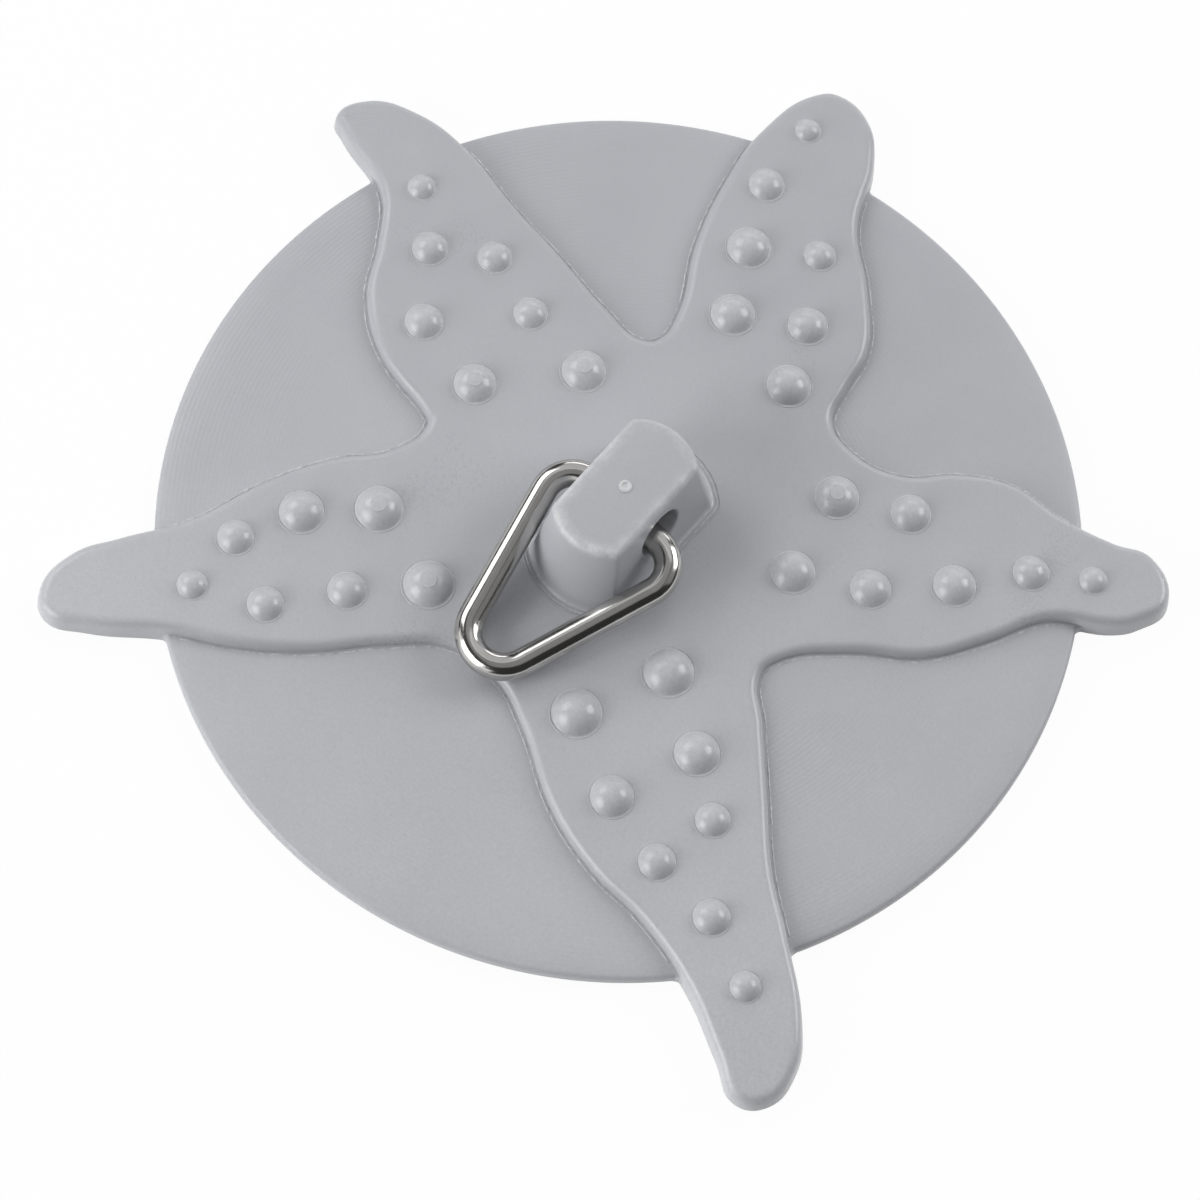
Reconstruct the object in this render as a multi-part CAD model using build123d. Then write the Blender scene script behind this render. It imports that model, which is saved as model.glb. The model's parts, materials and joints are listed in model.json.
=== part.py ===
from build123d import *
from math import asin, atan2, cos, degrees, hypot, radians, sin, sqrt, tan
import os

# A rubber drain stopper: a thin sealing disc, a raised starfish with nubs, a knob, and a wire ring through it.
# Millimetres. The origin is the middle of the flat underside, +Z is up, and the cross hole runs along X.

# Sealing disc
disc_radius = 50.0
disc_middle_height = 3.2
rim_height = 1.7
rim_top_round = 0.6
rim_bottom_round = 0.3

# Starfish: a gently crowned slab whose arms droop past the rim and lie level with the disc underneath.
# Its walls lean in by the draft, in degrees. A crotch is where an arm's wall crosses the rim, seen from above.
star_middle_height = 4.2
star_height_over_rim = 3.3
star_tip_height = 1.9
star_tip_radius = 65.0
star_wall_draft = 4.0
star_edge_round = 0.5
crotch_round = 0.8
crotch_height = 1.4
crotch_bite = 0.02

# Nubs: low domes that grow from the arm tips to the middle
largest_nub_diameter = 5.2
nub_rise_share = 0.62

# Knob: a tapered stub with two flats, rounded ends and a cross hole
knob_height = 10.6
knob_foot_half_width = 5.8
knob_top_half_width = 4.5
knob_foot_reach = 10.6
knob_top_reach = 8.4
knob_foot_end_radius = 8.0
knob_top_end_radius = 6.3
knob_corner_round = 0.9
knob_top_round = 0.6
knob_foot_fillet = 0.6
hole_height_over_star = 5.8
hole_radius = 2.85
hole_mouth_round = 0.3

# Gate mark: the small dished pip that the moulding gate left on top of the knob
gate_radius = 0.75
gate_dish_radius = 0.35
gate_rise = 0.15

# Ring: one polished wire bent to a rounded triangle, its ends butted inside the hole
wire_radius = 1.5
ring_side = 18.8
ring_depth = 32.0
ring_side_bend = 3.4
ring_tip_bend = 3.9
ring_butt_gap = 0.3
ring_rest_gap = 0.2

# How the ring lies in its oversize hole: below and before the hole's axis, a little to one side,
# and askew in degrees
ring_drop = 0.6
ring_forward = 0.3
ring_askew = 5.5
ring_sideways = 0.7

# One overrun serves all cuts
overrun = 1.0

# The starfish outline at its foot, clockwise from above, arm by arm.
# Each point is a bearing in degrees from +X and a reach as a share of disc_radius.
star_outline_shares = [
    # arm towards 160 degrees, from its tip to the crotch
    (162.5, 1.180), (158.5, 1.180), (154.0, 1.095), (150.0, 0.960), (147.0, 0.815), (141.5, 0.665),
    (133.0, 0.520), (123.5, 0.450), (119.5, 0.460),
    # arm towards 104 degrees
    (116.5, 0.525), (116.5, 0.700), (114.5, 0.880), (112.0, 1.020), (107.5, 1.155), (105.0, 1.175),
    (100.5, 1.140), (97.5, 1.060), (94.0, 0.900), (86.5, 0.795), (78.0, 0.690), (73.5, 0.590), (69.0, 0.530),
    # arm towards 34 degrees
    (60.0, 0.540), (52.5, 0.625), (51.0, 0.745), (48.0, 0.860), (43.0, 0.950), (39.5, 1.065), (38.0, 1.150),
    (33.0, 1.190), (30.0, 1.130), (29.0, 1.085), (28.0, 0.940), (22.5, 0.825), (16.0, 0.710), (10.5, 0.570),
    (357.0, 0.450),
    # arm towards 323 degrees
    (351.5, 0.450), (344.5, 0.535), (337.0, 0.685), (332.5, 0.835), (331.0, 0.970), (329.0, 1.160),
    (327.0, 1.245), (323.5, 1.300), (320.5, 1.280), (319.5, 1.185), (317.5, 1.030), (312.5, 0.880),
    (305.5, 0.780), (297.0, 0.660), (284.5, 0.500), (274.0, 0.445),
    # arm towards 228 degrees, and back to the first tip
    (258.5, 0.455), (248.5, 0.580), (244.0, 0.715), (238.5, 0.875), (234.5, 0.990), (231.5, 1.165),
    (229.5, 1.245), (226.5, 1.250), (223.0, 1.175), (221.5, 1.075), (219.0, 0.920), (212.5, 0.775),
    (205.5, 0.635), (200.0, 0.525), (190.0, 0.485), (188.5, 0.500), (182.5, 0.660), (175.5, 0.780),
    (168.0, 0.865), (163.5, 0.960), (163.0, 1.130),
]

# The nubs, arm by arm: bearing in degrees, reach as a share of disc_radius, width as a share of the widest
nub_shares = [
    # arm towards 160 degrees
    (158.5, 0.915, 0.58), (162.5, 0.775, 0.74), (153.5, 0.690, 0.70), (172.0, 0.640, 0.78),
    (151.5, 0.535, 0.70), (174.0, 0.455, 0.86), (142.5, 0.370, 0.90),
    # arm towards 104 degrees
    (106.5, 1.050, 0.54), (108.5, 0.885, 0.74), (107.0, 0.725, 0.90), (96.0, 0.785, 0.66),
    (104.0, 0.560, 0.90), (89.5, 0.630, 0.82), (82.5, 0.495, 0.90),
    # arm towards 34 degrees
    (49.0, 0.470, 0.90), (43.5, 0.625, 0.82), (24.5, 0.380, 0.90), (25.5, 0.550, 0.82),
    (30.0, 0.725, 0.86), (34.0, 0.885, 0.74), (34.0, 1.020, 0.58),
    # arm towards 323 degrees
    (297.5, 0.440, 1.00), (326.5, 0.350, 1.00), (327.0, 0.540, 0.90), (308.0, 0.615, 0.86),
    (326.0, 0.690, 0.70), (315.5, 0.760, 0.74), (322.0, 0.895, 0.74), (324.0, 1.055, 0.62),
    # arm towards 228 degrees
    (216.5, 0.520, 0.96), (218.0, 0.685, 0.90), (222.5, 0.825, 0.74), (229.0, 0.925, 0.62),
    (234.0, 0.780, 0.74), (235.0, 0.605, 0.78), (239.0, 0.435, 1.00),
]

# Heights that several pieces share
knob_top = star_middle_height + knob_height
hole_height = star_middle_height + hole_height_over_star
hinge_height = hole_height - ring_drop


def plan_point(bearing, reach):
    """A point of the plan from its bearing in degrees and its distance from the middle."""
    return (reach * cos(radians(bearing)), reach * sin(radians(bearing)))


def crown_height(reach):
    """Height of the starfish's top at a distance from the middle, over the disc."""
    fall = star_middle_height - star_height_over_rim
    crown_radius = (disc_radius**2 + fall**2) / (2 * fall)
    return star_middle_height - crown_radius + sqrt(crown_radius**2 - reach**2)


def star_outline(inset, height):
    """The closed starfish outline at a height, with every point moved inwards by inset."""
    foot = [plan_point(bearing, share * disc_radius) for bearing, share in star_outline_shares]
    points = []
    for index, (x, y) in enumerate(foot):
        before = foot[index - 1]
        after = foot[(index + 1) % len(foot)]
        along_x = after[0] - before[0]
        along_y = after[1] - before[1]
        span = sqrt(along_x**2 + along_y**2)
        points.append((x + inset * along_y / span, y - inset * along_x / span, height))
    return Spline(*points, periodic=True)


def star_crown():
    """All that lies under the crowned top of the starfish: nearly flat over the disc, then drooping."""
    over_disc = TangentArc((0, star_middle_height), (disc_radius, star_height_over_rim), tangent=(1, 0))
    tip = (star_tip_radius, star_tip_height)
    droop = TangentArc((disc_radius, star_height_over_rim), tip, tangent=over_disc % 1)
    reach = star_tip_radius * max(share for _, share in star_outline_shares)
    rest = Polyline(
        tip,
        (reach, 0),
        (0, 0),
        (0, star_middle_height),
    )
    profile = make_face(over_disc + droop + rest)
    return revolve(Plane.XZ * profile, Axis.Z)


def make_star():
    """The starfish slab with drafted walls, crowned top and rounded top edge."""
    wall_top = star_middle_height + overrun
    inset = wall_top * tan(radians(star_wall_draft))
    foot_face = make_face(star_outline(0, 0))
    top_face = make_face(star_outline(inset, wall_top))
    slab = loft([foot_face, top_face], ruled=True) & star_crown()
    top_edges = [edge for edge in slab.edges() if edge.bounding_box().min.Z > rim_height / 2]
    return fillet(top_edges, star_edge_round)


def make_disc():
    """The sealing disc: flat underneath, gently domed on top, with a rounded rim."""
    dome = TangentArc((0, disc_middle_height), (disc_radius, rim_height), tangent=(1, 0))
    rest = Polyline(
        (disc_radius, rim_height),
        (disc_radius, 0),
        (0, 0),
        (0, disc_middle_height),
    )
    profile = make_face(dome + rest)
    top_corner = profile.vertices().sort_by_distance((disc_radius, rim_height))[0]
    profile = fillet(top_corner, rim_top_round)
    bottom_corner = profile.vertices().sort_by_distance((disc_radius, 0))[0]
    profile = fillet(bottom_corner, rim_bottom_round)
    return revolve(Plane.XZ * profile, Axis.Z)


def make_crotch_webs():
    """The small upright fillets in the crotches. Each bites a hair into wall and rim, so that all fuse."""
    foot = star_outline(0, 0)
    round_path = star_outline(-crotch_round + crotch_bite, 0)
    rim_path = CenterArc((0, 0), disc_radius + crotch_round - crotch_bite, 0, 360)
    webs = []
    for crossing in round_path.intersect(rim_path):
        centre = Vector(crossing)
        on_wall = foot.closest_points(crossing)[0]
        towards_rim = -centre.normalized()
        towards_wall = (on_wall - centre).normalized()
        inwards = (towards_rim + towards_wall).normalized()
        reach = crotch_round + star_edge_round
        corners = [
            centre,
            centre + towards_rim * reach,
            centre + inwards * reach / inwards.dot(towards_rim),
            centre + towards_wall * reach,
        ]
        block = extrude(make_face(Polyline(*corners, close=True)), crotch_height)
        webs.append(block - Pos(centre) * Cylinder(crotch_round, 4 * crotch_height))
    return webs


def knob_outline(half_width, reach, end_radius, height):
    """One level of the knob: two flats and two round ends with softened corners."""
    arc_middle = reach - end_radius
    corner = arc_middle + sqrt(end_radius**2 - half_width**2)
    far_end = ThreePointArc((half_width, corner), (0, reach), (-half_width, corner))
    near_end = ThreePointArc((-half_width, -corner), (0, -reach), (half_width, -corner))
    left_flat = Line((-half_width, corner), (-half_width, -corner))
    right_flat = Line((half_width, -corner), (half_width, corner))
    section = make_face(far_end + near_end + left_flat + right_flat)
    return Pos(0, 0, height) * fillet(section.vertices(), knob_corner_round)


def make_knob():
    """The tapered knob, its foot sunk into the starfish, with a softened top edge."""
    drop_share = star_middle_height / knob_height
    sunk_half_width = knob_foot_half_width + drop_share * (knob_foot_half_width - knob_top_half_width)
    sunk_reach = knob_foot_reach + drop_share * (knob_foot_reach - knob_top_reach)
    sunk_end_radius = knob_foot_end_radius + drop_share * (knob_foot_end_radius - knob_top_end_radius)
    foot = knob_outline(sunk_half_width, sunk_reach, sunk_end_radius, 0)
    top = knob_outline(knob_top_half_width, knob_top_reach, knob_top_end_radius, knob_top)
    stub = loft([foot, top], ruled=True)
    top_edges = stub.faces().sort_by(Axis.Z)[-1].edges()
    return fillet(top_edges, knob_top_round)


def make_gate_mark():
    """The dished pip on top of the knob."""
    pip = Pos(0, 0, knob_top) * Cylinder(gate_radius, 2 * gate_rise)
    pip = fillet(pip.edges().sort_by(Axis.Z)[-1], gate_rise / 2)
    return pip - Pos(0, 0, knob_top + gate_rise) * Cylinder(gate_dish_radius, 2 * gate_rise)


def make_nubs():
    """The low domes on the arms, each a slice of a ball whose middle lies under the crowned top."""
    nubs = []
    for bearing, reach_share, width_share in nub_shares:
        half_width = width_share * largest_nub_diameter / 2
        rise = nub_rise_share * half_width
        ball_radius = (half_width**2 + rise**2) / (2 * rise)
        x, y = plan_point(bearing, reach_share * disc_radius)
        middle_height = crown_height(hypot(x, y)) + rise - ball_radius
        nubs.append(Pos(x, y, middle_height) * Sphere(ball_radius, arc_size1=0, align=None))
    return nubs


def make_stopper_body():
    """The whole rubber moulding."""
    knob = make_knob()
    hole = Pos(0, 0, hole_height) * Rot(0, 90, 0) * Cylinder(hole_radius, 4 * knob_foot_half_width)
    knob = knob - hole
    mouths = []
    for edge in knob.edges():
        span = edge.bounding_box().size.Y
        if abs(span - 2 * hole_radius) < hole_mouth_round:
            mouths.append(edge)
    knob = fillet(mouths, hole_mouth_round)
    body = make_star() + knob
    foot_edges = []
    for edge in body.edges():
        box = edge.bounding_box()
        level = abs(box.max.Z - star_middle_height) < knob_foot_fillet / 2
        if level and hypot(edge.center().X, edge.center().Y) < knob_foot_reach + overrun:
            foot_edges.append(edge)
    body = fillet(foot_edges, knob_foot_fillet)
    return body + make_disc() + make_crotch_webs() + make_nubs() + make_gate_mark()


def make_pull_ring():
    """The bent wire, from one butted end round the triangle to the other, as it lies at rest."""
    half_side = ring_side / 2
    half_gap = ring_butt_gap / 2
    path = FilletPolyline(
        (half_gap, 0),
        (half_side, 0),
        (0, -ring_depth),
        (-half_side, 0),
        (-half_gap, 0),
        radius=[ring_side_bend, ring_tip_bend, ring_side_bend],
    )
    wire = sweep(Plane((half_gap, 0, 0), z_dir=(1, 0, 0)) * Circle(wire_radius), path=path)
    half_tip_angle = atan2(half_side, ring_depth)
    tip_reach = ring_depth - ring_tip_bend * (1 / sin(half_tip_angle) - 1)
    tip_height = crown_height(tip_reach) + ring_rest_gap + wire_radius
    tilt = degrees(asin((hinge_height - tip_height) / tip_reach))
    return Pos(ring_sideways, -ring_forward, hinge_height) * Rot(0, 0, -ring_askew) * Rot(tilt, 0, 0) * wire


os.makedirs("parts", exist_ok=True)
export_step(make_stopper_body(), "parts/stopper_body.step")
export_step(make_pull_ring(), "parts/pull_ring.step")
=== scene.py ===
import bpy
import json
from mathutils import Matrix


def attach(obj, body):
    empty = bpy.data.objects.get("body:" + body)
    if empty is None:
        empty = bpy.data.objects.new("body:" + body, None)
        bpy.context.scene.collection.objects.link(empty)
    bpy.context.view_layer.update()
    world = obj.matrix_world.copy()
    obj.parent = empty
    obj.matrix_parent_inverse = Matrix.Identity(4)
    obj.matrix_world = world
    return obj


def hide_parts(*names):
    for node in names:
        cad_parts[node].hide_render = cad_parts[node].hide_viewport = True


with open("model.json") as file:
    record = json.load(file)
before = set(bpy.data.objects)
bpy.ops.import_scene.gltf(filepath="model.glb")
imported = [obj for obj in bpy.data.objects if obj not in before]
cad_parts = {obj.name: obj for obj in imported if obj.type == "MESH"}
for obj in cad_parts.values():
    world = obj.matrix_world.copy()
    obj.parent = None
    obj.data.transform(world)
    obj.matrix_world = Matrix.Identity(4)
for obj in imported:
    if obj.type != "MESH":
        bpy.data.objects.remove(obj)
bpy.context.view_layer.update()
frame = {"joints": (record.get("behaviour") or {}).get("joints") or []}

import json
from math import asin, atan2, cos, degrees, hypot, pi, radians, sin, sqrt, tan

import bmesh
import bpy
from mathutils import Matrix, Quaternion, Vector, noise

millimetre = 0.001


# Sealing disc. The thin round skirt that lies over the drain: soft rubber, moulded in one shot with all the
# rubber above it. It is flat underneath and gently domed on top, and its rim is rounded, so that it seals as
# it bends.
disc_radius = 50.0 * millimetre
disc_middle_height = 3.2 * millimetre
rim_height = 1.7 * millimetre
rim_top_round = 0.6 * millimetre
rim_bottom_round = 0.3 * millimetre
rim_band_width = 1.3 * millimetre
rim_band_fall = 0.12 * millimetre
disc_top_rings = 24
disc_underside_rings = 6
disc_facets = 288
merge_distance = millimetre / 1000


def arc_height(reach, middle_height, outer_reach, outer_height):
    """Height of a shallow dome at a reach, from its height in the middle and at its outer reach."""
    fall = middle_height - outer_height
    dome_radius = (outer_reach**2 + fall**2) / (2 * fall)
    return middle_height - dome_radius + sqrt(dome_radius**2 - reach**2)


def disc_top(reach):
    """Height of the disc's top at a reach."""
    return arc_height(reach, disc_middle_height, disc_radius, rim_height)


def corner_round(centre, radius, start, end, steps):
    """Points of a rounded corner in a profile, from one angle to another, in degrees."""
    angles = [radians(start + (end - start) * step / steps) for step in range(steps + 1)]
    return [(centre[0] + radius * cos(angle), centre[1] + radius * sin(angle)) for angle in angles]


def turn_profile(name, profile, facets):
    """A turned form: one vertex is drawn out along the profile, and the line is spun once round Z."""
    bpy.ops.object.select_all(action="DESELECT")
    bpy.ops.mesh.primitive_plane_add(size=millimetre)
    piece = bpy.context.object
    piece.name = name
    bpy.ops.object.mode_set(mode="EDIT")
    bpy.ops.mesh.select_mode(type="VERT")
    bpy.ops.mesh.select_all(action="SELECT")
    bpy.ops.mesh.merge(type="CENTER")
    at = (0, 0)
    for index, point in enumerate(profile):
        move = (point[0] - at[0], 0, point[1] - at[1])
        if index:
            bpy.ops.mesh.extrude_vertices_move(TRANSFORM_OT_translate={"value": move})
        else:
            bpy.ops.transform.translate(value=move)
        at = point
    bpy.ops.mesh.select_all(action="SELECT")
    bpy.ops.mesh.spin(steps=facets, angle=2 * pi, center=(0, 0, 0), axis=(0, 0, 1))
    bpy.ops.mesh.select_all(action="SELECT")
    bpy.ops.mesh.remove_doubles(threshold=merge_distance)
    bpy.ops.mesh.normals_make_consistent(inside=False)
    bpy.ops.object.mode_set(mode="OBJECT")
    return piece


band_start = disc_radius - rim_band_width
top_round_middle = (disc_radius - rim_top_round, rim_height - rim_band_fall - rim_top_round)
bottom_round_middle = (disc_radius - rim_bottom_round, rim_bottom_round)
top_reaches = [band_start * step / disc_top_rings for step in range(disc_top_rings + 1)]
underside_reaches = [disc_radius * step / disc_underside_rings for step in range(disc_underside_rings)]
disc_profile = [(reach, disc_top(reach)) for reach in top_reaches]
disc_profile += corner_round(top_round_middle, rim_top_round, start=80, end=0, steps=9)
disc_profile += corner_round(bottom_round_middle, rim_bottom_round, start=0, end=-90, steps=5)
disc_profile += [(reach, 0) for reach in reversed(underside_reaches)]
disc = turn_profile("sealing_disc", disc_profile, disc_facets)
bpy.ops.object.shade_smooth_by_angle(angle=radians(40))


class Nodes:
    """A value in a material's node tree. Arithmetic on it adds Math nodes, and node() adds any other node."""

    def __init__(self, tree, socket=None):
        self.tree = tree
        self.socket = socket

    def node(self, kind, sockets, settings=None, output=0):
        """Add a node, make its settings, give its sockets their values or links, and return one output."""
        made = self.tree.nodes.new(kind)
        for name, value in (settings or {}).items():
            setattr(made, name, value)
        for name, value in sockets.items():
            if isinstance(value, Nodes):
                self.tree.links.new(value.socket, made.inputs[name])
            else:
                made.inputs[name].default_value = value
        return Nodes(self.tree, made.outputs[output])

    def math(self, operation, *values):
        """A Math node on this value and up to two more."""
        return self.node("ShaderNodeMath", dict(enumerate((self, *values))), {"operation": operation})

    def mix(self, low, high):
        """A colour between two, with this value as the factor."""
        # A Mix node has sockets for every kind of value. For colours they are 6 and 7, and output 2.
        return self.node("ShaderNodeMix", {0: self, 6: low, 7: high}, {"data_type": "RGBA"}, 2)

    def noise(self, size, detail=2, roughness=0.5):
        """Noise from 0 to 1 at this position, with lumps of about the given size in metres."""
        sockets = {"Vector": self, "Scale": 1 / size, "Detail": detail, "Roughness": roughness}
        return self.node("ShaderNodeTexNoise", sockets)

    def at_least(self, low):
        """This value, or the lower limit where that is larger."""
        return self.math("MAXIMUM", low)

    def at_most(self, high):
        """This value, or the upper limit where that is smaller."""
        return self.math("MINIMUM", high)

    def patches(self, size, contrast, shift, least):
        """Noise at this position with its contrast raised, shifted down, and kept from a least value to 1."""
        return (self.noise(size) * contrast - shift).at_least(least).at_most(1.0)

    def __abs__(self):
        return self.math("ABSOLUTE")

    def __add__(self, other):
        return self.math("ADD", other)

    def __sub__(self, other):
        return self.math("SUBTRACT", other)

    def __mul__(self, other):
        return self.math("MULTIPLY", other)

    def __rsub__(self, other):
        return self.math("MULTIPLY", -1.0) + other

    __radd__ = __add__
    __rmul__ = __mul__


def new_material(name):
    """A new material, and the position on the piece as a value in its node tree."""
    material = bpy.data.materials.new(name)
    material.use_nodes = True
    return material, Nodes(material.node_tree).node("ShaderNodeTexCoord", {}, output="Object")


def feed_shader(material, colour, roughness, relief):
    """Link a colour, a roughness and a relief in metres to the material's shader, and return the shader."""
    tree = material.node_tree
    shader = tree.nodes["Principled BSDF"]
    bump = relief.node("ShaderNodeBump", {"Height": relief, "Strength": 1.0, "Distance": 1.0})
    for value, socket in ((colour, "Base Color"), (roughness, "Roughness"), (bump, "Normal")):
        tree.links.new(value.socket, shader.inputs[socket])
    return shader


rubber_light = (0.475, 0.483, 0.51, 1.0)
rubber_dark = (0.385, 0.393, 0.425, 1.0)
# The pale colour serves as worn rubber on the knob and gate, and as painted light elsewhere.
rubber_pale_worn_and_lit = (0.64, 0.645, 0.66, 1.0)
cloud_size = 14.0 * millimetre
cloud_relief = 0.05 * millimetre
cloud_roughness = 0.08
speck_size = 0.35 * millimetre
speck_roughness = 0.05
grain_size = 0.22 * millimetre
grain_relief = 0.0018 * millimetre


def moulded_rubber(name, dullness, tool_marks, wear_and_painted_light):
    """Grey moulded rubber, cloudy and fine-grained. Tool marks, and a pale colour that is partly worn rubber
    and partly painted light, are functions of position.
    """
    material, place = new_material(name)
    clouds = place.noise(cloud_size, detail=3)
    specks = place.noise(speck_size, detail=3, roughness=0.7)
    grain = place.noise(grain_size)
    colour = ((clouds + specks) * 0.5).mix(rubber_dark, rubber_light)
    # Twice the specks is 1 on average, so the paleness, worn or painted light, keeps its mean.
    colour = (specks * 2.0 * wear_and_painted_light(place)).at_least(0.0).mix(colour, rubber_pale_worn_and_lit)
    roughness = dullness + (specks - 0.5) * speck_roughness + (clouds - 0.5) * cloud_roughness
    relief = grain * grain_relief + clouds * cloud_relief + tool_marks(place)
    feed_shader(material, colour, roughness, relief)
    return material


turned_pitch = 0.5 * millimetre
turned_wander = 0.5 * millimetre
turned_wander_size = 9.0 * millimetre
turned_patch_size = 22.0 * millimetre
turned_break_size = 1.1 * millimetre
turned_relief = 0.007 * millimetre
turned_left_gain = 0.5
# The haze is also painted paler towards one side: painted light, standing in for the stronger light on the
# side towards the camera.
bloom_size = 6.0 * millimetre
painted_light_side = (0.56, -0.83)
painted_light_gain = 0.15
bloom_least = 0.04
bloom_patchiness = 0.12


def parted(place):
    """The X, Y and Z values of a position."""
    return [place.node("ShaderNodeSeparateXYZ", {"Vector": place}, output=axis) for axis in "XYZ"]


def plan_length(x, y):
    """The length of a line in plan, from how far it goes along X and along Y."""
    return (x * x + y * y).math("SQRT")


def turned_marks(place):
    """Fine rings that the turned mould left on the disc, stronger in patches and towards -X."""
    x, y, _ = parted(place)
    wander = place.noise(turned_wander_size) * turned_wander
    rings = ((plan_length(x, y) + wander) * (2 * pi / turned_pitch)).math("SINE")
    left_side = (x * (-turned_left_gain / disc_radius)).at_least(0.0)
    patches = place.patches(turned_patch_size, contrast=2.2, shift=0.75 - left_side, least=0.2)
    breaks = place.noise(turned_break_size) * 1.2 + 0.3
    return rings * patches * breaks * turned_relief


def haze_and_painted_light(place):
    """A faint pale haze on the rubber in patches, and painted light: the rubber is painted paler towards the
    camera's side, standing in for the stronger light there.
    """
    x, y, _ = parted(place)
    towards_painted_light = x * painted_light_side[0] + y * painted_light_side[1]
    haze = place.noise(bloom_size) * bloom_patchiness + bloom_least
    return haze + towards_painted_light * (painted_light_gain / disc_radius)


# The disc's paleness is a pale haze in patches, and painted light that grows paler towards the camera's side.
disc_rubber = moulded_rubber("rubber_turned", dullness=0.42, tool_marks=turned_marks, wear_and_painted_light=haze_and_painted_light)
disc.data.materials.append(disc_rubber)
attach(disc, "stopper")
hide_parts("stopper_body")


# Starfish. The slab that stiffens the disc and hides its middle, moulded in one with it. Its top is gently
# crowned, its arms droop past the rim to lie level with the disc, its walls lean in a little, and its top
# edge is rounded.
star_middle_height = 4.2 * millimetre
star_height_over_rim = 3.3 * millimetre
star_tip_height = 1.9 * millimetre
star_tip_radius = 65.0 * millimetre
star_wall_draft = 4.0
star_edge_round = 0.9 * millimetre
star_lift = 0.02 * millimetre
star_foot_step = 0.1 * millimetre
star_block_height = 6.0 * millimetre
star_margin = 1.2 * millimetre
star_grid = 2.5 * millimetre
star_outline_steps = 8
crown_rings = 68

# Each point is a bearing in degrees from +X and a reach as a share of disc_radius, clockwise from above.
star_outline_shares = [
    # arm towards 160 degrees, from its tip to the crotch
    (162.5, 1.176), (158.5, 1.176), (154.0, 1.095), (150.0, 0.960), (147.0, 0.815), (141.5, 0.665),
    (133.0, 0.520), (123.5, 0.450), (119.5, 0.460),
    # arm towards 104 degrees
    (116.5, 0.525), (116.5, 0.700), (114.5, 0.880), (112.0, 1.020), (107.5, 1.155), (105.0, 1.175),
    (100.5, 1.140), (97.5, 1.060), (94.0, 0.900), (86.5, 0.795), (78.0, 0.690), (73.5, 0.590), (69.0, 0.530),
    # arm towards 34 degrees
    (60.0, 0.540), (52.5, 0.625), (51.0, 0.745), (48.0, 0.860), (43.0, 0.950), (39.5, 1.065), (38.0, 1.150),
    (33.0, 1.190), (30.0, 1.130), (29.0, 1.085), (28.0, 0.940), (22.5, 0.825), (16.0, 0.710), (10.5, 0.570),
    (357.0, 0.450),
    # arm towards 323 degrees
    (351.5, 0.450), (344.5, 0.535), (337.0, 0.685), (332.5, 0.835), (331.0, 0.970), (329.0, 1.160),
    (327.0, 1.245), (323.5, 1.300), (320.5, 1.280), (319.5, 1.185), (317.5, 1.030), (312.5, 0.880),
    (305.5, 0.780), (297.0, 0.660), (284.5, 0.500), (274.0, 0.445),
    # arm towards 228 degrees, and back to the first tip
    (258.5, 0.455), (248.5, 0.580), (244.0, 0.715), (238.5, 0.875), (234.5, 0.990), (231.5, 1.165),
    (229.5, 1.245), (226.5, 1.250), (223.0, 1.175), (221.5, 1.075), (219.0, 0.920), (212.5, 0.775),
    (205.5, 0.635), (200.0, 0.525), (190.0, 0.485), (188.5, 0.500), (182.5, 0.660), (175.5, 0.780),
    (168.0, 0.865), (163.5, 0.960), (163.0, 1.130),
]


def crown_height(reach):
    """Height of the starfish's top: a shallow dome over the disc, then a tighter droop towards the tips."""
    if reach <= disc_radius:
        return arc_height(reach, star_middle_height, disc_radius, star_height_over_rim)
    fall = star_middle_height - star_height_over_rim
    slope = 2 * fall * disc_radius / (disc_radius**2 - fall**2)
    past = reach - disc_radius
    span = star_tip_radius - disc_radius
    sag = (star_height_over_rim - star_tip_height - slope * span) / span**2
    return star_height_over_rim - slope * past - sag * past**2


def pick(level, test):
    """In edit mode, select just the vertices, edges or faces whose middle passes the test."""
    bpy.ops.mesh.select_mode(type=level)
    bpy.ops.mesh.select_all(action="DESELECT")
    mesh = bmesh.from_edit_mesh(bpy.context.object.data)
    for part in {"VERT": mesh.verts, "EDGE": mesh.edges, "FACE": mesh.faces}[level]:
        corners = [part.co] if level == "VERT" else [corner.co for corner in part.verts]
        middle = sum(corners, Vector()) / len(corners)
        if test(middle, part):
            part.select_set(True)
    bmesh.update_edit_mesh(bpy.context.object.data)


def plan_point(bearing, reach_share):
    """A point of the plan from its bearing in degrees and its reach as a share of the disc's radius."""
    reach = reach_share * disc_radius
    return Vector((reach * cos(radians(bearing)), reach * sin(radians(bearing)), 0))


def take(piece):
    """Select just this piece, and make it the active one."""
    bpy.ops.object.select_all(action="DESELECT")
    piece.select_set(True)
    bpy.context.view_layer.objects.active = piece


bpy.ops.object.select_all(action="DESELECT")
bpy.ops.curve.primitive_bezier_circle_add(radius=disc_radius)
star = bpy.context.object
star.name = "starfish"
outline = star.data.splines[0]
outline.bezier_points.add(len(star_outline_shares) - len(outline.bezier_points))
outline.resolution_u = star_outline_steps
for knot, (bearing, share) in zip(outline.bezier_points, star_outline_shares):
    knot.co = plan_point(bearing, share)
    knot.handle_left_type = "AUTO"
    knot.handle_right_type = "AUTO"
bpy.ops.object.convert(target="MESH")
star_foot = [corner.co.copy() for corner in star.data.vertices]

# A copy of the outline is set aside for the foot lines.
bpy.ops.object.duplicate()
foot_line = bpy.context.object
take(star)

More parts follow.
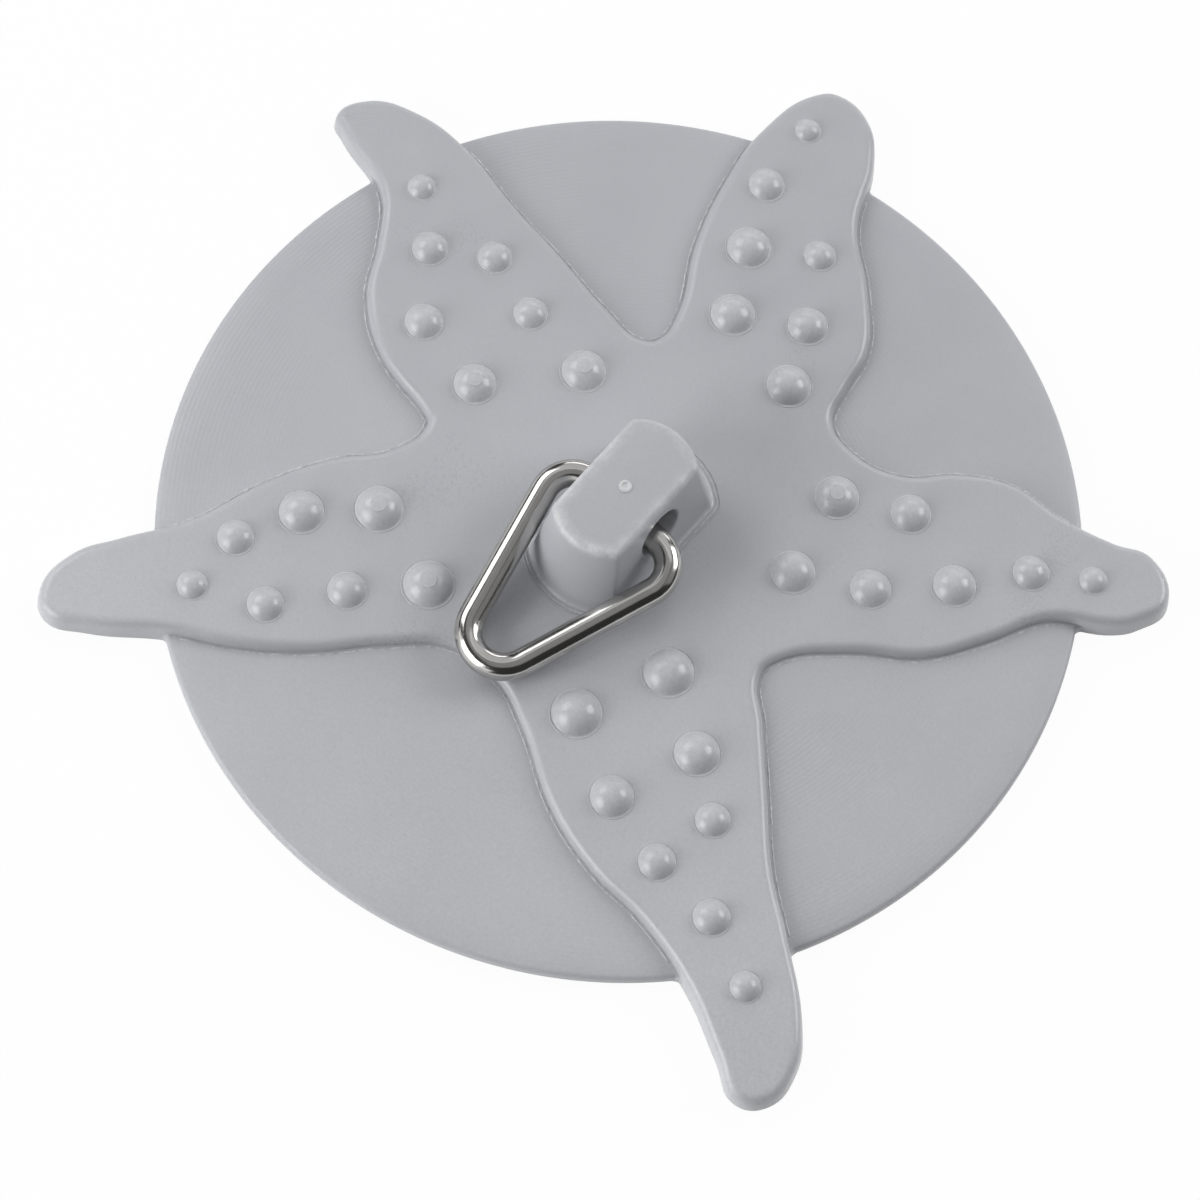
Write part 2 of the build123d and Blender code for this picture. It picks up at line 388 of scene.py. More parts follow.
# The outline is lifted a hair clear of the disc's underside, filled and raised with its draft, gets a margin
# for the rounded edge, and is cut into a grid.
star_lean = star_middle_height * tan(radians(star_wall_draft))
bpy.ops.object.mode_set(mode="EDIT")
bpy.ops.mesh.select_all(action="SELECT")
bpy.ops.transform.translate(value=(0, 0, star_lift))
bpy.ops.mesh.edge_face_add()
bpy.ops.mesh.normals_make_consistent(inside=False)
bpy.ops.mesh.extrude_region_move(TRANSFORM_OT_translate={"value": (0, 0, star_foot_step)})
bpy.ops.mesh.inset(thickness=star_lean, depth=star_block_height)
bpy.ops.mesh.inset(thickness=star_margin)
bpy.ops.mesh.select_mode(type="VERT")
bpy.ops.object.vertex_group_assign_new()
star_reach = max(corner.length for corner in star_foot)
for step in range(int(-star_reach / star_grid), int(star_reach / star_grid) + 1):
    for across in (Vector((1, 0, 0)), Vector((0, 1, 0))):
        bpy.ops.mesh.select_all(action="DESELECT")
        bpy.ops.object.vertex_group_select()
        bpy.ops.mesh.bisect(plane_co=across * step * star_grid, plane_no=across)

# The flat top is dropped onto a turned crown, with a ring for each millimetre, and its edge is rounded.
bpy.ops.mesh.select_all(action="DESELECT")
pick("VERT", lambda middle, corner: middle.z > star_block_height)
bpy.ops.object.vertex_group_assign_new()
bpy.ops.object.mode_set(mode="OBJECT")
crown_profile = [(ring * millimetre, crown_height(ring * millimetre)) for ring in range(crown_rings)]
crown = turn_profile("crown_former", crown_profile, disc_facets)
take(star)
drop = star.modifiers.new("drop", "SHRINKWRAP")
drop.target = crown
drop.wrap_method = "PROJECT"
drop.use_project_z = True
drop.use_negative_direction = True
drop.use_positive_direction = True
drop.vertex_group = star.vertex_groups[-1].name
bpy.ops.object.modifier_apply(modifier="drop")
bpy.data.objects.remove(crown)
bpy.ops.object.mode_set(mode="EDIT")
pick("EDGE", lambda middle, edge: middle.z > star_edge_round and edge.calc_face_angle(0) > radians(60))
bpy.ops.mesh.bevel(offset=star_edge_round, segments=6, affect="EDGES")
bpy.ops.object.mode_set(mode="OBJECT")
bpy.ops.object.shade_smooth_by_angle(angle=radians(50))

milled_pitch = 0.45 * millimetre
milled_patch_size = 5.0 * millimetre
milled_relief = 0.006 * millimetre
milled_from_share = 0.6
# Over the arms' ends the starfish is painted paler: a painted sheen of the milled finish.
end_sheen_from_share = 0.7
end_sheen_gain = 0.22


def beyond(place, share):
    """How far past a share of the disc's radius a place lies, as a share too. It is 0 further in."""
    x, y, _ = parted(place)
    return (plan_length(x, y) * (1 / disc_radius) - share).at_least(0.0)


def milled_marks(place):
    """Faint crossed lines that the cutter left in the mould over the arms' ends."""
    x, y, _ = parted(place)
    turns = 2 * pi / milled_pitch
    crossed = ((x + y * 0.5) * turns).math("SINE") + ((y - x * 0.5) * turns).math("SINE")
    patches = place.patches(milled_patch_size, contrast=3.0, shift=1.0, least=0.1)
    return crossed * beyond(place, milled_from_share) * patches * milled_relief


def haze_and_painted_sheen_on_ends(place):
    """The disc's haze and painted light on the starfish, and a painted sheen over the arms' ends, where the
    milled finish would catch more light.
    """
    return haze_and_painted_light(place) + beyond(place, end_sheen_from_share) * end_sheen_gain


# The starfish's paleness is the haze, the disc's painted light and a painted sheen over the arms' ends.
star_rubber = moulded_rubber("rubber_milled", dullness=0.29, tool_marks=milled_marks, wear_and_painted_light=haze_and_painted_sheen_on_ends)
star.data.materials.append(star_rubber)
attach(star, "stopper")
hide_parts("stopper_body")


# Foot lines. Where the plate that forms the starfish met the disc's plate in the mould, rubber crept into
# the joint: a hair-thin, uneven raised line that runs along the foot of the starfish's wall on the disc.
foot_line_out = 0.15 * millimetre
foot_line_radius = 0.14 * millimetre
foot_line_sink = 0.07 * millimetre
foot_line_lump = 0.35 * millimetre
foot_line_mean_share = 0.85
foot_line_lump_share = 0.7
flash_mark_size = 0.9 * millimetre
flash_mark_relief = 0.003 * millimetre
flash_lump_size = 0.7 * millimetre


def outward_at(index):
    """The direction away from the starfish, square to its outline, at one point of its foot."""
    along = star_foot[(index + 1) % len(star_foot)] - star_foot[index - 1]
    return Vector((-along.y, along.x, 0)).normalized()


def join(name, members):
    """Join the pieces into one with its place in its mesh."""
    bpy.ops.object.select_all(action="DESELECT")
    for member in members:
        member.select_set(True)
    bpy.context.view_layer.objects.active = members[0]
    if len(members) > 1:
        bpy.ops.object.join()
    bpy.ops.object.transform_apply(location=True, rotation=True, scale=True)
    members[0].name = name
    return members[0]


take(foot_line)
for index, corner in enumerate(foot_line.data.vertices):
    corner.co = star_foot[index] + outward_at(index) * foot_line_out
bpy.ops.object.mode_set(mode="EDIT")
bpy.ops.mesh.select_all(action="SELECT")
bpy.ops.mesh.subdivide(number_cuts=2)
pick("VERT", lambda middle, corner: middle.length > band_start)
bpy.ops.mesh.delete(type="VERT")
bpy.ops.object.mode_set(mode="OBJECT")
for corner in foot_line.data.vertices:
    corner.co.z = disc_top(corner.co.length) - foot_line_sink
bpy.ops.object.convert(target="CURVE")
foot_line.data.bevel_depth = foot_line_radius
foot_line.data.bevel_resolution = 1
foot_line.data.use_fill_caps = True
for line in foot_line.data.splines:
    for knot in line.points:
        lump = noise.noise(knot.co.xyz / foot_line_lump)
        knot.radius = foot_line_mean_share + foot_line_lump_share * lump
bpy.ops.object.convert(target="MESH")
bpy.ops.object.mode_set(mode="EDIT")
bpy.ops.mesh.select_all(action="SELECT")
bpy.ops.mesh.remove_doubles(threshold=merge_distance)
bpy.ops.mesh.normals_make_consistent(inside=False)
bpy.ops.object.mode_set(mode="OBJECT")
foot_line = join("foot_lines", [foot_line])
bpy.ops.object.shade_smooth()


def unmarked(place):
    """No tool marks, only a slight unevenness."""
    return place.noise(flash_mark_size) * flash_mark_relief


def pale_lumps(place):
    """Thin rubber is stretched pale, more in some lumps than in others. On the foot lines round the starfish
    this paleness is also painted light, which lifts the shade at the foot of its wall.
    """
    return place.patches(flash_lump_size, contrast=3.0, shift=0.9, least=0.15)


# The foot lines are painted pale: partly thin rubber stretched pale, and partly painted light that lifts the
# shade at the foot of the starfish's wall.
flash_rubber = moulded_rubber("rubber_flash", dullness=0.36, tool_marks=unmarked, wear_and_painted_light=pale_lumps)
foot_line.data.materials.append(flash_rubber)
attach(foot_line, "stopper")
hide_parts("stopper_body")


# Crotch webs. Small upright fillets of rubber where the wall of an arm crosses the disc's rim, moulded in.
# The rounded inner corners of the mould left them, and they keep the thin rim from tearing there.
crotch_round = 0.8 * millimetre
crotch_height = rim_height - rim_band_fall
crotch_bite = 0.02 * millimetre
close_enough = millimetre / 20


def cut_away(piece, cutter):
    """Take the cutter's shape out of the piece and delete the cutter."""
    take(piece)
    cut = piece.modifiers.new("cut", "BOOLEAN")
    cut.operation = "DIFFERENCE"
    cut.object = cutter
    bpy.ops.object.modifier_apply(modifier="cut")
    bpy.data.objects.remove(cutter)


def crotch_web(centre, to_wall):
    """One fillet: a wedge between the rim and an arm's wall, hollowed round a centre that lies off both."""
    to_rim = -centre.normalized()
    inwards = (to_rim + to_wall).normalized()
    web_reach = crotch_round + rim_top_round
    far = inwards * (web_reach / inwards.dot(to_rim))
    bpy.ops.object.select_all(action="DESELECT")
    bpy.ops.mesh.primitive_plane_add(size=millimetre)
    web = bpy.context.object
    order_round_plane = (0, 1, 3, 2)
    for point, place in zip(order_round_plane, (Vector(), to_rim * web_reach, far, to_wall * web_reach)):
        web.data.vertices[point].co = centre + place + Vector((0, 0, star_lift / 2))
    bpy.ops.object.mode_set(mode="EDIT")
    bpy.ops.mesh.select_all(action="SELECT")
    bpy.ops.mesh.extrude_region_move(TRANSFORM_OT_translate={"value": (0, 0, crotch_height)})
    bpy.ops.mesh.select_all(action="SELECT")
    bpy.ops.mesh.normals_make_consistent(inside=False)
    bpy.ops.object.mode_set(mode="OBJECT")
    bpy.ops.mesh.primitive_cylinder_add(
        vertices=48, radius=crotch_round, depth=4 * crotch_height, location=centre
    )
    cut_away(web, bpy.context.object)
    bpy.ops.object.mode_set(mode="EDIT")
    pick(
        "EDGE",
        lambda middle, edge: middle.z > crotch_height - close_enough
        and abs(hypot(middle.x - centre.x, middle.y - centre.y) - crotch_round) < close_enough,
    )
    bpy.ops.mesh.bevel(offset=rim_top_round, segments=5, affect="EDGES")
    bpy.ops.object.mode_set(mode="OBJECT")
    return web


# A line that runs just under the fillets' radius outside the starfish crosses a circle as far outside the
# disc twice at every arm. Each crossing is the centre of a fillet.
web_offset = crotch_round - crotch_bite
centre_reach = disc_radius + web_offset
webs = []
before = None
for index, corner in enumerate(star_foot):
    outward = outward_at(index)
    after = corner + outward * web_offset
    if before and (before.length < centre_reach) != (after.length < centre_reach):
        crossing = (centre_reach - before.length) / (after.length - before.length)
        webs.append(crotch_web(before.lerp(after, crossing), -outward))
    before = after
crotch_webs = join("crotch_webs", webs)
bpy.ops.object.shade_smooth_by_angle(angle=radians(30))
crotch_webs.data.materials.append(disc_rubber)
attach(crotch_webs, "stopper")
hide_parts("stopper_body")


# Nubs. Low glossy domes of rubber that grow from the arms' tips to the middle, moulded in. Each was the
# dimple of a ball-ended cutter in the mould: its edge left a thin raised line round the nub, and on some the
# cutter's tip left a small ring on top.
largest_nub_diameter = 5.2 * millimetre
nub_rise_share = 0.62
nub_foot_share = 0.10
nub_plate_height = 0.02 * millimetre
# The nubs are painted paler than the same rubber round them: painted light, standing in for the sheen that
# their glossy domes catch.
nub_painted_sheen = 0.34
nub_rings = 12
nub_facets = 40
marked_nub_bearings = (142.5, 174.0, 49.0, 216.5, 239.0)
tip_mark_share = 0.38
tip_mark_depth_share = 0.1

# Each nub is a bearing in degrees from +X, a reach as a share of disc_radius, and its width as a share of
# the largest nub's.
nub_shares = [
    # arm towards 160 degrees
    (158.5, 0.915, 0.58), (162.5, 0.775, 0.74), (153.5, 0.690, 0.70), (172.0, 0.640, 0.78),
    (151.5, 0.535, 0.70), (174.0, 0.455, 0.86), (142.5, 0.370, 0.90),
    # arm towards 104 degrees
    (106.5, 1.050, 0.54), (108.5, 0.885, 0.74), (107.0, 0.725, 0.90), (96.0, 0.785, 0.66),
    (104.0, 0.560, 0.90), (89.5, 0.630, 0.82), (82.5, 0.495, 0.90),
    # arm towards 34 degrees
    (49.0, 0.470, 0.90), (43.5, 0.625, 0.82), (24.5, 0.380, 0.90), (25.5, 0.550, 0.82),
    (30.0, 0.725, 0.86), (34.0, 0.885, 0.74), (34.0, 1.020, 0.58),
    # arm towards 323 degrees
    (297.5, 0.440, 1.00), (326.5, 0.350, 1.00), (327.0, 0.540, 0.90), (308.0, 0.615, 0.86),
    (326.0, 0.690, 0.70), (315.5, 0.760, 0.74), (322.0, 0.895, 0.74), (324.0, 1.055, 0.62),
    # arm towards 228 degrees
    (216.5, 0.520, 0.96), (218.0, 0.685, 0.90), (222.5, 0.825, 0.74), (229.0, 0.925, 0.62),
    (234.0, 0.780, 0.74), (235.0, 0.605, 0.78), (239.0, 0.435, 1.00),
]

# The line round the foot, and the skirt under it. Each point is a reach and a height, as shares of half the
# nub's width.
nub_line_shares = [
    (1.08, 0), (1.09, 0.012), (1.105, 0.018), (1.12, 0.012), (1.13, 0), (1.16, -0.08), (0, -0.08),
]

# The mark is a hair-thick cap on the nub's top with a raised edge. Each point is a share of the cap's lean,
# and how far out from the ball it lies, as a share of half the nub's width.
tip_mark_shares = [
    (0, 0.004), (0.5, 0.004), (0.82, 0.004), (0.88, 0.014), (0.96, 0.014), (1.0, 0.004), (1.02, -0.03),
]

# The unit nub's half width is 1. Its profile runs from the top, down the ball, and out over the line.
ball = (1 + nub_rise_share**2) / (2 * nub_rise_share)
ball_middle = nub_rise_share - ball
fillet_reach = sqrt((ball + nub_foot_share) ** 2 - (nub_foot_share - ball_middle) ** 2)
meets = atan2(nub_foot_share - ball_middle, fillet_reach)
ball_leans = [(pi / 2 - meets) * step / nub_rings for step in range(nub_rings + 1)]
nub_profile = [(ball * sin(lean), ball_middle + ball * cos(lean)) for lean in ball_leans]
nub_fillet_middle = (fillet_reach, nub_foot_share)
nub_fillet = corner_round(nub_fillet_middle, nub_foot_share, start=180 + degrees(meets), end=270, steps=4)
nub_profile += nub_fillet[1:] + nub_line_shares
nub = turn_profile("nub_former", nub_profile, nub_facets)
mark_lean = asin(tip_mark_share / ball)
mark_profile = [
    ((ball + rise) * sin(mark_lean * share), ball_middle + (ball + rise) * cos(mark_lean * share))
    for share, rise in tip_mark_shares
]
mark_profile.append((0, nub_rise_share - tip_mark_depth_share))
mark = turn_profile("tip_mark_former", mark_profile, nub_facets)
nubs = []
for bearing, reach_share, width_share in nub_shares:
    place = plan_point(bearing, reach_share)
    fall = crown_height(place.length - millimetre) - crown_height(place.length + millimetre)
    place.z = crown_height(place.length) + nub_plate_height
    formers = [nub, mark] if bearing in marked_nub_bearings else [nub]
    for former in formers:
        take(former)
        bpy.ops.object.duplicate()
        copy = bpy.context.object
        copy.scale = Vector((1, 1, 1)) * (width_share * largest_nub_diameter / 2)
        copy.rotation_euler = (0, atan2(fall, 2 * millimetre), radians(bearing))
        copy.location = place
        nubs.append(copy)
bpy.data.objects.remove(nub)
bpy.data.objects.remove(mark)
all_nubs = join("nubs", nubs)
bpy.ops.object.shade_smooth_by_angle(angle=radians(60))
# A lighter copy of the rubber: the paleness is painted sheen.
nub_rubber = moulded_rubber(
    "rubber_glossy", dullness=0.24, tool_marks=unmarked, wear_and_painted_light=lambda place: nub_painted_sheen
)
all_nubs.data.materials.append(nub_rubber)
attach(all_nubs, "stopper")
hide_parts("stopper_body")


# Knob. The tapered stub of rubber that carries the ring, moulded in one with the starfish: two flats, two
# round ends, softened edges, a cross hole that a side core left, and on top the small dished pip of the
# moulding gate.
knob_height = 10.6 * millimetre
knob_foot_half_width = 5.8 * millimetre
knob_top_half_width = 4.5 * millimetre
knob_foot_reach = 10.6 * millimetre
knob_top_reach = 8.4 * millimetre
knob_foot_end_radius = 8.0 * millimetre
knob_top_end_radius = 6.3 * millimetre
knob_corner_round = 0.9 * millimetre
knob_top_round = 0.6 * millimetre
knob_foot_fillet = 0.6 * millimetre
hole_height = star_middle_height + 5.8 * millimetre
hole_radius = 2.85 * millimetre
hole_mouth_round = 0.3 * millimetre
gate_radius = 0.75 * millimetre
gate_dish_radius = 0.35 * millimetre
gate_rise = 0.15 * millimetre
gate_paleness = 0.8
rub_width = 1.5 * millimetre
rub_depth = 1.1 * millimetre
rub_patch_size = 1.3 * millimetre
ridge_middle = 0.07 * millimetre
ridge_fade = 0.04 * millimetre

# Two thin raised lines, where the mould's knob insert met the starfish's plate. Each point is how far out
# from the knob, and how far up from the starfish's top, in millimetres.
ridge_profile = [
    (1.17, -0.10), (1.13, 0.07), (1.09, 0.07), (1.06, 0.0), (0.87, 0.0), (0.83, 0.08), (0.78, 0.08),
]

# The knob tapers evenly from its foot to its top. The neck is the level where the fillet round the foot ends.
knob_top = star_middle_height + knob_height
neck_share = knob_foot_fillet / knob_height
neck_half_width = knob_foot_half_width + neck_share * (knob_top_half_width - knob_foot_half_width)
neck_reach = knob_foot_reach + neck_share * (knob_top_reach - knob_foot_reach)
neck_end_radius = knob_foot_end_radius + neck_share * (knob_top_end_radius - knob_foot_end_radius)


def knob_outline(half_width, reach, end_radius, grow, height):
    """One level of the knob, anticlockwise and grown outwards: flat, soft corner, round end, and so on."""
    end_middle = reach - end_radius
    corner_x = half_width - knob_corner_round
    corner_y = end_middle + sqrt((end_radius - knob_corner_round) ** 2 - corner_x**2)
    turned = degrees(atan2(corner_y - end_middle, corner_x))
    quarter = corner_round((corner_x, corner_y), knob_corner_round + grow, start=0, end=turned, steps=6)
    quarter += corner_round((0, end_middle), end_radius + grow, start=turned, end=90, steps=14)[1:]
    half = quarter + [(-x, y) for x, y in quarter[-2::-1]]
    return [Vector((x, y, height)) for x, y in half + [(-x, -y) for x, y in half]]


def foot_level(out, up):
    """A level of the foot, grown outwards from the knob's neck, at a height over the starfish's top."""
    return knob_outline(neck_half_width, neck_reach, neck_end_radius, out, star_middle_height + up)


fillet_middle = (knob_foot_fillet, knob_foot_fillet)
fillet_profile = corner_round(fillet_middle, knob_foot_fillet, start=270, end=180, steps=7)
levels = [foot_level(out * millimetre, up * millimetre) for out, up in ridge_profile]
levels += [foot_level(out, up) for out, up in fillet_profile]
levels.append(knob_outline(knob_top_half_width, knob_top_reach, knob_top_end_radius, 0, knob_top))

# The lowest level is filled and extruded to the next one, and so on. Each new corner moves to the place in
# its level that the corner under it has in its own.
bpy.ops.object.select_all(action="DESELECT")
bpy.ops.mesh.primitive_circle_add(vertices=len(levels[0]), radius=neck_reach, fill_type="NGON")
knob = bpy.context.object
for corner, place in zip(knob.data.vertices, levels[0]):
    corner.co = place
bpy.ops.object.mode_set(mode="EDIT")
bpy.ops.mesh.select_mode(type="FACE")
bpy.ops.mesh.select_all(action="SELECT")
for lower, upper in zip(levels, levels[1:]):
    bpy.ops.mesh.extrude_region_move()
    bpy.ops.object.mode_set(mode="OBJECT")
    for corner in knob.data.vertices:
        if corner.select:
            nearest = min(range(len(lower)), key=lambda index: (lower[index] - corner.co).length)
            corner.co = upper[nearest]
    bpy.ops.object.mode_set(mode="EDIT")
bpy.ops.mesh.select_all(action="SELECT")
bpy.ops.mesh.normals_make_consistent(inside=False)
pick(
    "EDGE",
    lambda middle, edge: middle.z > knob_top - close_enough and edge.calc_face_angle(0) > radians(45),
)
bpy.ops.mesh.bevel(offset=knob_top_round, segments=6, affect="EDGES")
bpy.ops.object.mode_set(mode="OBJECT")
bpy.ops.mesh.primitive_cylinder_add(
    vertices=96,
    radius=hole_radius,
    depth=4 * knob_foot_half_width,
    location=(0, 0, hole_height),
    rotation=(0, pi / 2, 0),
)
cut_away(knob, bpy.context.object)
bpy.ops.object.mode_set(mode="EDIT")
pick(
    "EDGE",
    lambda middle, edge: abs(hypot(middle.y, middle.z - hole_height) - hole_radius) < close_enough
    and edge.calc_face_angle(0) > radians(60),
)
bpy.ops.mesh.bevel(offset=hole_mouth_round, segments=5, affect="EDGES")
bpy.ops.object.mode_set(mode="OBJECT")

# The pip's dish, then its rim: each point is a share of the radius, and of the rise over the knob's top.
dish_shares = [(0, 0.2), (0.8, 0.2), (1.0, 0.4), (1.2, 0.9), (1.4, 1.0)]
pip_rim_shares = [(0.8, 0.9), (0.95, 0.5), (1.0, -1.0), (0, -1.0)]
pip_profile = [(reach * gate_dish_radius, knob_top + rise * gate_rise) for reach, rise in dish_shares]
pip_profile += [(reach * gate_radius, knob_top + rise * gate_rise) for reach, rise in pip_rim_shares]
pip = turn_profile("gate_pip", pip_profile, facets=32)


def rubbed_edges(place):
    """How pale the knob is rubbed: on its top edge, most towards -Y, and on the lines round its foot."""
    x, y, z = parted(place)
    past = (abs(y) - (knob_top_reach - knob_top_end_radius)).at_least(0.0)
    from_end = knob_top_end_radius - plan_length(x, past)
    from_flat = knob_top_half_width - abs(x)
    inwards = from_end.at_most(from_flat) * (1 / rub_width)
    downwards = (knob_top - z) * (1 / rub_depth)
    patches = (place.noise(rub_patch_size, detail=3) * 2.6 - 0.6 - y * (0.3 / knob_top_reach)).at_least(0.3)
    edge = (1.0 - inwards.at_least(downwards)).at_least(0.0) * patches
    off_ridge = abs(z - (star_middle_height + ridge_middle)) * (1 / ridge_fade)
    ridge = (1.0 - off_ridge).at_least(0.0) * pale_lumps(place)
    return (edge * 0.7).at_least(ridge).at_most(1.0) + 0.08


knob_rubber = moulded_rubber("rubber_knob", dullness=0.36, tool_marks=unmarked, wear_and_painted_light=rubbed_edges)
gate_rubber = moulded_rubber(
    "rubber_gate", dullness=0.4, tool_marks=unmarked, wear_and_painted_light=lambda place: gate_paleness
)
knob.data.materials.append(knob_rubber)
pip.data.materials.append(gate_rubber)
knob = join("knob", [knob, pip])
bpy.ops.object.shade_smooth_by_angle(angle=radians(40))
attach(knob, "stopper")
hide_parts("stopper_body")


# Pull ring. One polished stainless wire, bent round three corners to a rounded triangle with its ends butted
# inside the knob's hole. It hangs loose there, and lies back on the starfish, a little askew.
wire_radius = 1.5 * millimetre
ring_side = 18.8 * millimetre
ring_depth = 32.0 * millimetre
ring_side_bend = 3.4 * millimetre
ring_tip_bend = 3.9 * millimetre
ring_butt_gap = 0.3 * millimetre
ring_rest_gap = 0.2 * millimetre
ring_askew = 5.5
ring_sideways = 0.7 * millimetre
steel_light = (0.60, 0.59, 0.57, 1.0)
steel_dark = (0.48, 0.47, 0.455, 1.0)
steel_roughness = 0.13
dull_patch_size = 2.5 * millimetre
dull_patch_roughness = 0.07
scratch_size = 0.12 * millimetre
scratch_roughness = 0.14
scratch_relief = 0.0015 * millimetre

# The wire is drawn out from one end of the butt, and spun at each bend. Each bend takes up part of the
# straights on both sides of it.
half_angle = atan2(ring_side / 2, ring_depth)
side_turn = pi / 2 + half_angle
tip_turn = pi - 2 * half_angle
side_take = ring_side_bend * tan(side_turn / 2)
tip_take = ring_tip_bend * tan(tip_turn / 2)
leg = hypot(ring_side / 2, ring_depth) - side_take - tip_take
half_bar = ring_side / 2 - ring_butt_gap / 2 - side_take
bpy.ops.object.select_all(action="DESELECT")
bpy.ops.mesh.primitive_circle_add(
    vertices=40,
    radius=wire_radius,
    fill_type="NGON",
    location=(ring_butt_gap / 2, 0, 0),
    rotation=(0, pi / 2, 0),
)
ring = bpy.context.object
bpy.ops.object.transform_apply(location=True, rotation=True)
bpy.ops.object.mode_set(mode="EDIT")
bpy.ops.mesh.select_all(action="SELECT")
at = Vector((ring_butt_gap / 2, 0, 0))
heading = Vector((1, 0, 0))
for straight, bend, turn in (
    (half_bar, ring_side_bend, side_turn),
    (leg, ring_tip_bend, tip_turn),
    (leg, ring_side_bend, side_turn),
    (half_bar, None, None),
):
    bpy.ops.mesh.extrude_region_move(TRANSFORM_OT_translate={"value": heading * straight})
    at = at + heading * straight
    if bend:
        centre = at + Vector((heading.y, -heading.x, 0)) * bend
        bpy.ops.mesh.spin(steps=28, angle=turn, center=centre, axis=(0, 0, 1))
        swing = Matrix.Rotation(-turn, 3, "Z")
        at = centre + swing @ (at - centre)
        heading = swing @ heading
bpy.ops.mesh.select_all(action="SELECT")
bpy.ops.mesh.normals_make_consistent(inside=False)
bpy.ops.object.mode_set(mode="OBJECT")
tip_reach = ring_depth - ring_tip_bend * (1 / sin(half_angle) - 1)
hinge = Vector(frame["joints"][0]["pos_m"])
tip_height = crown_height(tip_reach) + ring_rest_gap + wire_radius
tilt = asin((hinge.z - tip_height) / tip_reach)
ring.matrix_world = (
    Matrix.Translation(hinge + Vector((ring_sideways, 0, 0)))
    @ Matrix.Rotation(radians(-ring_askew), 4, "Z")
    @ Matrix.Rotation(tilt, 4, "X")
)
ring = join("pull_ring_wire", [ring])
bpy.ops.object.shade_smooth_by_angle(angle=radians(40))


def polished_steel(name):
    """Mirror-polished stainless steel with fine scratches and a few dull patches."""
    material, place = new_material(name)
    patches = place.noise(dull_patch_size, detail=3)
    scratches = place.noise(scratch_size, detail=3, roughness=0.7)
    colour = patches.mix(steel_dark, steel_light)
    roughness = steel_roughness + patches * dull_patch_roughness + (scratches - 0.5) * scratch_roughness
    shader = feed_shader(material, colour, roughness, scratches * scratch_relief)
    shader.inputs["Metallic"].default_value = 1.0
    return material


ring.data.materials.append(polished_steel("polished_steel"))
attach(ring, "ring")
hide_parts("pull_ring")


# Floor. A matt white paper sheet under the stopper, which takes its soft shadow. Seen straight or in a
# reflection it also glows evenly, so that the ground is white out to the picture's edge.
floor_size = 3.0
floor_glow = 0.95
paper_colour = (0.88, 0.88, 0.88, 1.0)
paper_roughness = 0.7

bpy.ops.object.select_all(action="DESELECT")
bpy.ops.mesh.primitive_plane_add(size=floor_size)
floor = bpy.context.object
floor.name = "floor"
paper = bpy.data.materials.new("white_paper")
paper.use_nodes = True
tree = paper.node_tree
shader = tree.nodes["Principled BSDF"]
shader.inputs["Base Color"].default_value = paper_colour
shader.inputs["Roughness"].default_value = paper_roughness
rays = Nodes(tree)
camera_ray = rays.node("ShaderNodeLightPath", {}, output="Is Camera Ray")
glossy_ray = rays.node("ShaderNodeLightPath", {}, output="Is Glossy Ray")
seen = camera_ray.at_least(glossy_ray) * floor_glow
white = rays.node("ShaderNodeEmission", {"Color": (1.0, 1.0, 1.0, 1.0), "Strength": 1.0})
surface = rays.node("ShaderNodeMixShader", {0: seen, 1: Nodes(tree, shader.outputs[0]), 2: white})
tree.links.new(surface.socket, tree.nodes["Material Output"].inputs["Surface"])
floor.data.materials.append(paper)


# Light. Three soft boxes stand round the stopper and show as the bright spots on every nub, a large one
# hangs behind it, and four panels fill in. Nothing bright stands behind the camera, so the ring shows a
# dark band.
room_glow = 0.04

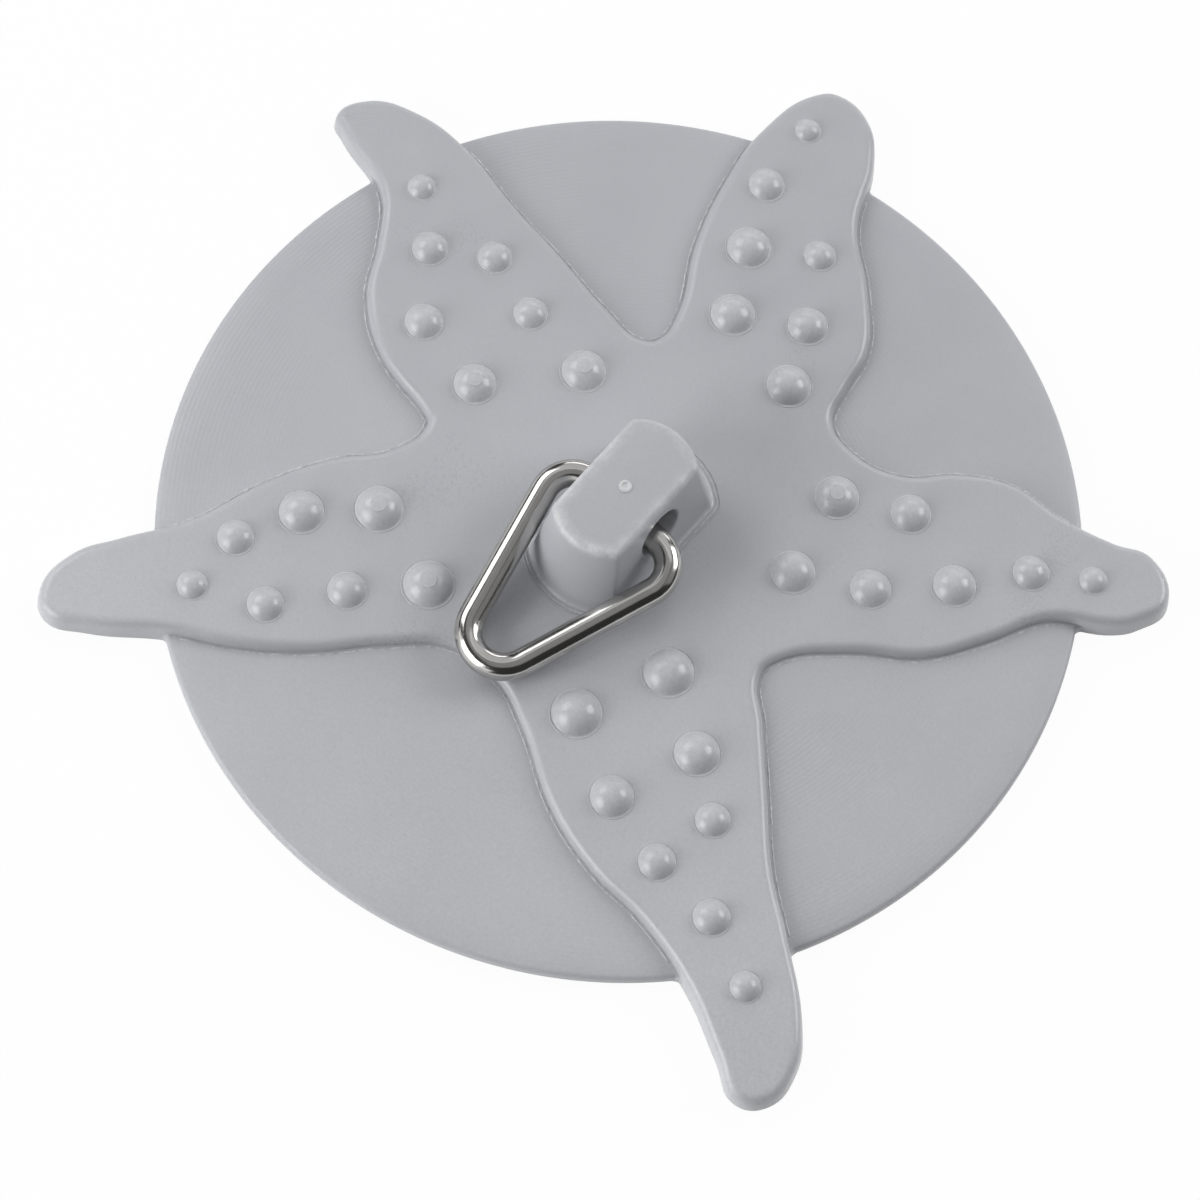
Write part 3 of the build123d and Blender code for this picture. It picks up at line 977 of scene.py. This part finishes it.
# Each row is a name, a bearing and a height in degrees, a distance, width and depth in metres, and a
# radiance.
soft_boxes = [
    ("key_box", -26, 24, 0.65, 0.42, 0.42, 4.3),
    ("left_box", -88, 35, 0.8, 0.46, 0.46, 3.2),
    ("right_box", 150, 30, 0.8, 0.42, 0.42, 5.8),
    ("back_box", 212, 54, 1.2, 1.2, 1.1, 0.65),
    ("front_panel", -25, 16, 0.9, 1.3, 0.4, 1.0),
    ("back_panel", 205, 18, 1.0, 1.0, 0.22, 2.6),
    ("side_panel", 122, 42, 0.9, 0.6, 0.7, 0.25),
    ("top_panel", 34, 84, 1.2, 1.0, 1.0, 0.3),
]


def direction(bearing, height):
    """The direction towards a place seen from the stopper: 0 is from -Y, 90 from +X."""
    bearing, height = radians(bearing), radians(height)
    return Vector((sin(bearing) * cos(height), -cos(bearing) * cos(height), sin(height)))


def soft_box(name, bearing, height, distance, width, depth, radiance):
    """A rectangular area light that faces the stopper, as bright to look at as its radiance says."""
    bpy.ops.object.light_add(type="AREA")
    lamp = bpy.context.object
    lamp.name = name
    lamp.location = direction(bearing, height) * distance
    lamp.rotation_euler = (-direction(bearing, height)).to_track_quat("-Z", "Y").to_euler()
    lamp.data.shape = "RECTANGLE"
    lamp.data.size = width
    lamp.data.size_y = depth
    lamp.data.energy = radiance * pi * width * depth


for row in soft_boxes:
    soft_box(*row)
world = bpy.data.worlds.new("studio")
bpy.context.scene.world = world
world.use_nodes = True
background = world.node_tree.nodes["Background"]
background.inputs["Color"].default_value = (1.0, 1.0, 1.0, 1.0)
background.inputs["Strength"].default_value = room_glow


# Camera. A long lens that looks down from in front, rolled a little, as the photograph was taken. The lens
# and its shifts are given in pixels of the picture's width.
camera_bearing = 33.9
camera_height = 67.55
camera_distance = 0.551
camera_roll = 6.42
image_pixels = 1200
focal_pixels = 5107
middle_right_pixels = 19.6
middle_up_pixels = 60.2
sensor_width = 36
nearest_seen = 0.05

bpy.ops.object.camera_add()
camera = bpy.context.object
back = direction(camera_bearing, camera_height)
camera.location = back * camera_distance
turn = (-back).to_track_quat("-Z", "Y") @ Quaternion((0, 0, 1), radians(camera_roll))
camera.rotation_euler = turn.to_euler()
camera.data.sensor_width = sensor_width
camera.data.lens = focal_pixels / image_pixels * sensor_width
camera.data.shift_x = -middle_right_pixels / image_pixels
camera.data.shift_y = -middle_up_pixels / image_pixels
camera.data.clip_start = nearest_seen
bpy.context.scene.camera = camera
bpy.context.scene.view_settings.view_transform = "Standard"
